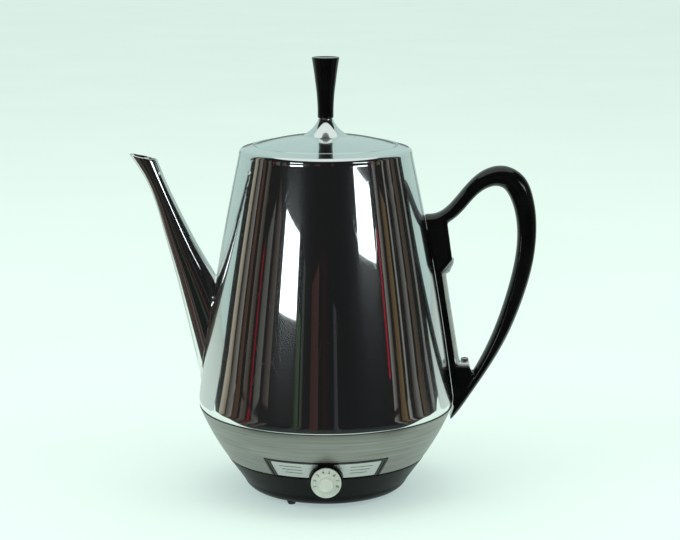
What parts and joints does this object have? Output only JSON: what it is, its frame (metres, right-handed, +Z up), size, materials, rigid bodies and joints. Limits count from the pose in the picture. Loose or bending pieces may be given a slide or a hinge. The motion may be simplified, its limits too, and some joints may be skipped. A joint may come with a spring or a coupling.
{
  "type": "electric coffee percolator",
  "caption": "Chromed electric coffee percolator with a slim spout, dark loop handle, tall lid knob, brushed skirt, front strength dial and rear appliance inlet.",
  "frame": {"origin": "on the table, half way between the spout's lip and the back of the handle, in the pot's middle plane", "axes": "+Z up; the dial faces -Y, the spout points to -X and the handle to +X"},
  "size_m": [0.2823, 0.1792, 0.305],
  "materials": {
    "polished_chrome": "mirror-polished chrome plate with fine hairline scratches",
    "brushed_skirt": "horizontally brushed, satin warm grey",
    "name_plate": "finely brushed bright aluminium",
    "black_phenolic": "moulded dark phenolic, satin gloss with light wear",
    "cream_dial": "aged cream moulded plastic",
    "pot_steel": "plain drawn steel, dull",
    "basket_aluminium": "spun aluminium, satin",
    "heater_sheath": "heat-tinted steel sheath",
    "screw_steel": "zinc-plated steel",
    "thermostat_case": "brown moulded insulation",
    "brass_parts": "plain machined brass",
    "foot_rubber": "moulded rubber",
    "wire_sleeve": "braided glass sleeve",
    "cover_steel": "black enamelled steel"
  },
  "bodies": {
    "pot": {"body_shell": "polished_chrome", "vessel_floor": "pot_steel", "spout": "polished_chrome", "skirt": "brushed_skirt", "name_bezel": "black_phenolic", "name_plate": "name_plate", "base_shell": "black_phenolic", "bottom_cover": "cover_steel", "mounting_posts": "screw_steel", "cover_screws": "screw_steel", "heating_element": "heater_sheath", "keep_warm_band": "heater_sheath", "thermostat_body": "thermostat_case", "thermostat_bracket": "screw_steel", "inlet_shroud": "black_phenolic", "inlet_pins": "brass_parts", "terminal_tabs": "brass_parts", "lead_wires": "wire_sleeve", "handle": "black_phenolic", "handle_bracket": "screw_steel", "bracket_screw": "screw_steel", "handle_strap": "polished_chrome", "strap_screw": "screw_steel", "foot_1": "foot_rubber", "foot_2": "foot_rubber", "foot_3": "foot_rubber"},
    "dial": {"dial_knob": "cream_dial", "dial_shaft": "brass_parts", "dial_clip": "screw_steel"},
    "nut": {"thermostat_nut": "brass_parts"},
    "pump": {"pump_stem": "basket_aluminium", "stem_collar": "basket_aluminium", "pump_bell": "basket_aluminium", "valve_cage": "basket_aluminium"},
    "valve": {"pump_valve": "basket_aluminium"},
    "basket_cup": {"basket": "basket_aluminium"},
    "spreader": {"basket_cover": "basket_aluminium"},
    "lid": {"lid_shell": "polished_chrome", "lid_skirt": "pot_steel", "lid_knob": "black_phenolic", "knob_ferrule": "polished_chrome", "knob_stud": "screw_steel", "knob_nut": "screw_steel"}
  },
  "joints": [
    {"name": "dial_turn", "type": "hinge", "parent": "pot", "child": "dial", "pos_m": [-0.00476, -0.0793, 0.0266], "axis": [0, -1, 0], "range_deg": [-125, 125]},
    {"name": "nut_travel", "type": "slide", "parent": "pot", "child": "nut", "axis": [0, 1, 0], "range_m": [-0.0015, 0.0015]},
    {"name": "pump_lift", "type": "slide", "parent": "pot", "child": "pump", "axis": [0, 0, 1], "range_m": [0, 0.2]},
    {"name": "valve_lift", "type": "slide", "parent": "pump", "child": "valve", "axis": [0, 0, 1], "range_m": [0, 0.0023]},
    {"name": "basket_lift", "type": "slide", "parent": "pump", "child": "basket_cup", "axis": [0, 0, 1], "range_m": [0, 0.085]},
    {"name": "spreader_lift", "type": "slide", "parent": "basket_cup", "child": "spreader", "axis": [0, 0, 1], "range_m": [0, 0.04]},
    {"name": "lid_lift", "type": "slide", "parent": "spreader", "child": "lid", "axis": [0, 0, 1], "range_m": [0, 0.06]}
  ],
  "couplings": [
    {"joint": "nut_travel", "follows": "dial_turn", "m_per_rad": 0.00063662}
  ]
}
